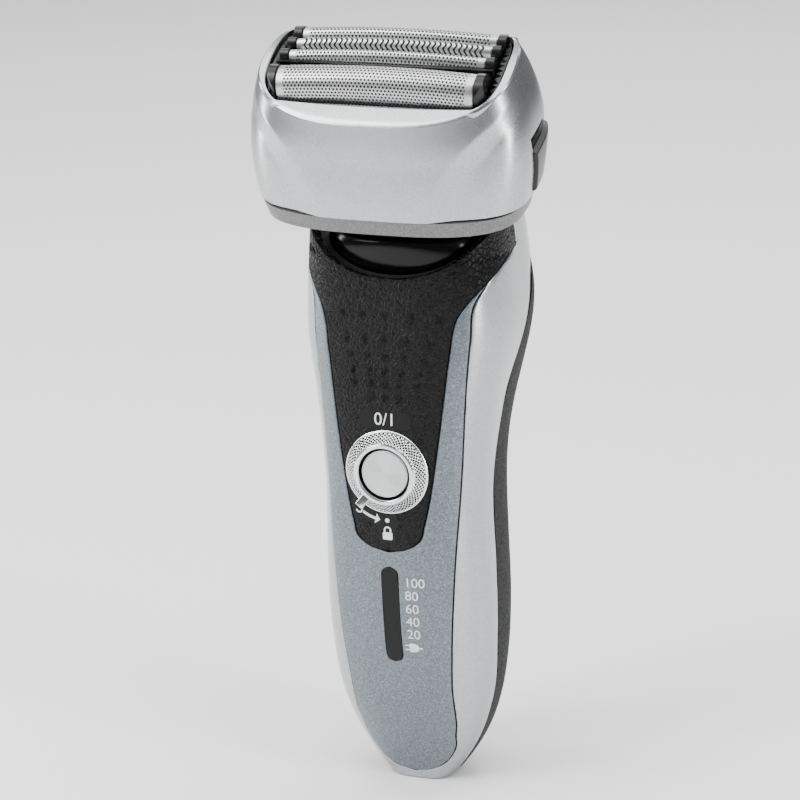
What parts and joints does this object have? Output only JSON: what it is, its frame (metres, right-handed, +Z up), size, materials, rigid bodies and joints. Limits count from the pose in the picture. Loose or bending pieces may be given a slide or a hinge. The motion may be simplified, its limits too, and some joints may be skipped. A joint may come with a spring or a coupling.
{
  "type": "electric shaver",
  "caption": "Upright cordless electric foil shaver with a tilting silver head, floating foils, a ring-lock switch and a pop-up trimmer",
  "frame": {"origin": "centre of the flat base face that holds the charging socket", "axes": "+Z up along the handle, the switch and lamps face -Y, +X to the right seen from behind the switch"},
  "size_m": [0.0656, 0.0514, 0.1717],
  "materials": {
    "satin_silver": "satin silver lacquer on the head frame",
    "side_silver": "bright silver lacquer on the side frame",
    "panel_blue_grey": "blue-grey metallic lacquer with fine sparkle",
    "grip_rubber": "black leather-grained elastomer",
    "back_rubber": "black elastomer with a fine diagonal texture",
    "gloss_black": "polished black plastic",
    "dark_grey": "dark grey satin plastic",
    "black_plastic": "moulded black plastic",
    "foil_steel": "bright perforated cutting foil",
    "blade_steel": "ground cutter steel",
    "ring_metal": "polished ring with knurled flank",
    "button_metal": "radially brushed cap",
    "window_clear": "smoked lamp window",
    "housing_plastic": "inner housing plastic",
    "board_green": "circuit board laminate",
    "battery_wrap": "plain battery sleeve",
    "contact_metal": "plated contacts",
    "pin_steel": "turned steel pins and screws",
    "coil_copper": "wound coil"
  },
  "bodies": {
    "handle": {"side_frame": "side_silver", "front_panel": "panel_blue_grey", "front_grip": "grip_rubber", "rear_grip": "back_rubber", "lamp_window": "window_clear", "light_guide": "window_clear", "charge_lamps": "window_clear", "housing_front": "housing_plastic", "housing_rear": "housing_plastic", "charging_socket": "black_plastic", "socket_pins": "contact_metal", "chassis": "black_plastic", "circuit_board": "board_green", "board_screws": "pin_steel", "tact_switch": "black_plastic", "battery": "battery_wrap", "battery_tabs": "contact_metal", "neck": "gloss_black", "tilt_pin": "pin_steel", "trimmer_bay": "black_plastic", "trimmer_pin": "pin_steel"},
    "switch_ring": {"lock_ring": "ring_metal"},
    "switch_button": {"power_button": "button_metal"},
    "cradle_body": {"cradle": "dark_grey", "swing_pins": "pin_steel"},
    "head": {"head_base": "dark_grey", "neck_ring": "gloss_black", "motor_case": "dark_grey", "motor_coil": "coil_copper", "motor_screws": "pin_steel"},
    "release_left": {"release_button_left": "black_plastic"},
    "release_right": {"release_button_right": "black_plastic"},
    "frame": {"head_frame": "satin_silver", "foil_cassette": "black_plastic", "centre_bar": "black_plastic"},
    "float_front": {"foil_front": "foil_steel", "front_caps": "black_plastic"},
    "float_centre": {"foil_finishing": "foil_steel", "slit_blade": "blade_steel", "centre_caps": "black_plastic"},
    "float_rear": {"foil_rear": "foil_steel", "rear_caps": "black_plastic"},
    "arm_front": {"drive_arm_front": "black_plastic"},
    "arm_rear": {"drive_arm_rear": "black_plastic"},
    "blade_front": {"inner_blade_front": "blade_steel"},
    "blade_centre": {"inner_blade_centre": "blade_steel"},
    "blade_rear": {"inner_blade_rear": "blade_steel"},
    "trimmer": {"trimmer_arm": "dark_grey", "trimmer_comb": "blade_steel"},
    "trimmer_cutter": {"trimmer_blade": "blade_steel"},
    "slider": {"trimmer_slider": "dark_grey"}
  },
  "joints": [
    {"name": "lock_turn", "type": "hinge", "parent": "handle", "child": "switch_ring", "pos_m": [0, -0.0204, 0.0776], "axis": [0, -1, 0], "range_deg": [0, 38]},
    {"name": "power_press", "type": "slide", "parent": "handle", "child": "switch_button", "axis": [0, 1, 0], "range_m": [0, 0.0007], "stiffness_N_per_m": 1500},
    {"name": "head_tilt", "type": "hinge", "parent": "handle", "child": "cradle_body", "pos_m": [0, -0.00946, 0.13724], "axis": [1, 0, 0], "range_deg": [-8, 8], "stiffness_Nm_per_rad": 0.6},
    {"name": "head_swing", "type": "hinge", "parent": "cradle_body", "child": "head", "pos_m": [0, -0.00946, 0.13724], "axis": [0, 0.9781, 0.2079], "range_deg": [-6, 6], "stiffness_Nm_per_rad": 0.6},
    {"name": "release_left_press", "type": "slide", "parent": "head", "child": "release_left", "axis": [1, 0, 0], "range_m": [0, 0.0015], "stiffness_N_per_m": 800},
    {"name": "release_right_press", "type": "slide", "parent": "head", "child": "release_right", "axis": [-1, 0, 0], "range_m": [0, 0.0015], "stiffness_N_per_m": 800},
    {"name": "frame_lift", "type": "slide", "parent": "head", "child": "frame", "axis": [0, -0.3746, 0.9272], "range_m": [0, 0.015]},
    {"name": "foil_front_float", "type": "slide", "parent": "frame", "child": "float_front", "axis": [0, -0.3746, 0.9272], "range_m": [-0.0015, 0], "stiffness_N_per_m": 600},
    {"name": "foil_centre_float", "type": "slide", "parent": "frame", "child": "float_centre", "axis": [0, -0.3746, 0.9272], "range_m": [-0.0015, 0], "stiffness_N_per_m": 600},
    {"name": "foil_rear_float", "type": "slide", "parent": "frame", "child": "float_rear", "axis": [0, -0.3746, 0.9272], "range_m": [-0.0015, 0], "stiffness_N_per_m": 600},
    {"name": "drive_front", "type": "slide", "parent": "head", "child": "arm_front", "axis": [1, 0, 0], "range_m": [-0.0011, 0.0011], "stiffness_N_per_m": 1500},
    {"name": "drive_rear", "type": "slide", "parent": "head", "child": "arm_rear", "axis": [1, 0, 0], "range_m": [-0.0011, 0.0011]},
    {"name": "blade_front_float", "type": "slide", "parent": "arm_front", "child": "blade_front", "axis": [0, -0.3746, 0.9272], "range_m": [-0.0015, 0]},
    {"name": "blade_centre_float", "type": "slide", "parent": "arm_rear", "child": "blade_centre", "axis": [0, -0.3746, 0.9272], "range_m": [-0.0015, 0]},
    {"name": "blade_rear_float", "type": "slide", "parent": "arm_rear", "child": "blade_rear", "axis": [0, -0.3746, 0.9272], "range_m": [-0.0015, 0]},
    {"name": "trimmer_slide", "type": "slide", "parent": "handle", "child": "slider", "axis": [0, 0.225, 0.9744], "range_m": [0, 0.006]},
    {"name": "trimmer_flip", "type": "hinge", "parent": "handle", "child": "trimmer", "pos_m": [0, 0.02, 0.102], "axis": [-1, 0, 0], "range_deg": [0, 55]},
    {"name": "trimmer_stroke", "type": "slide", "parent": "trimmer", "child": "trimmer_cutter", "axis": [1, 0, 0], "range_m": [-0.0008, 0.0008]}
  ],
  "couplings": [
    {"joint": "drive_rear", "follows": "drive_front", "ratio": -1},
    {"joint": "trimmer_stroke", "follows": "drive_front", "ratio": 0.7},
    {"joint": "blade_front_float", "follows": "foil_front_float", "ratio": 1},
    {"joint": "blade_centre_float", "follows": "foil_centre_float", "ratio": 1},
    {"joint": "blade_rear_float", "follows": "foil_rear_float", "ratio": 1},
    {"joint": "trimmer_flip", "follows": "trimmer_slide", "rad_per_m": 158.53}
  ]
}
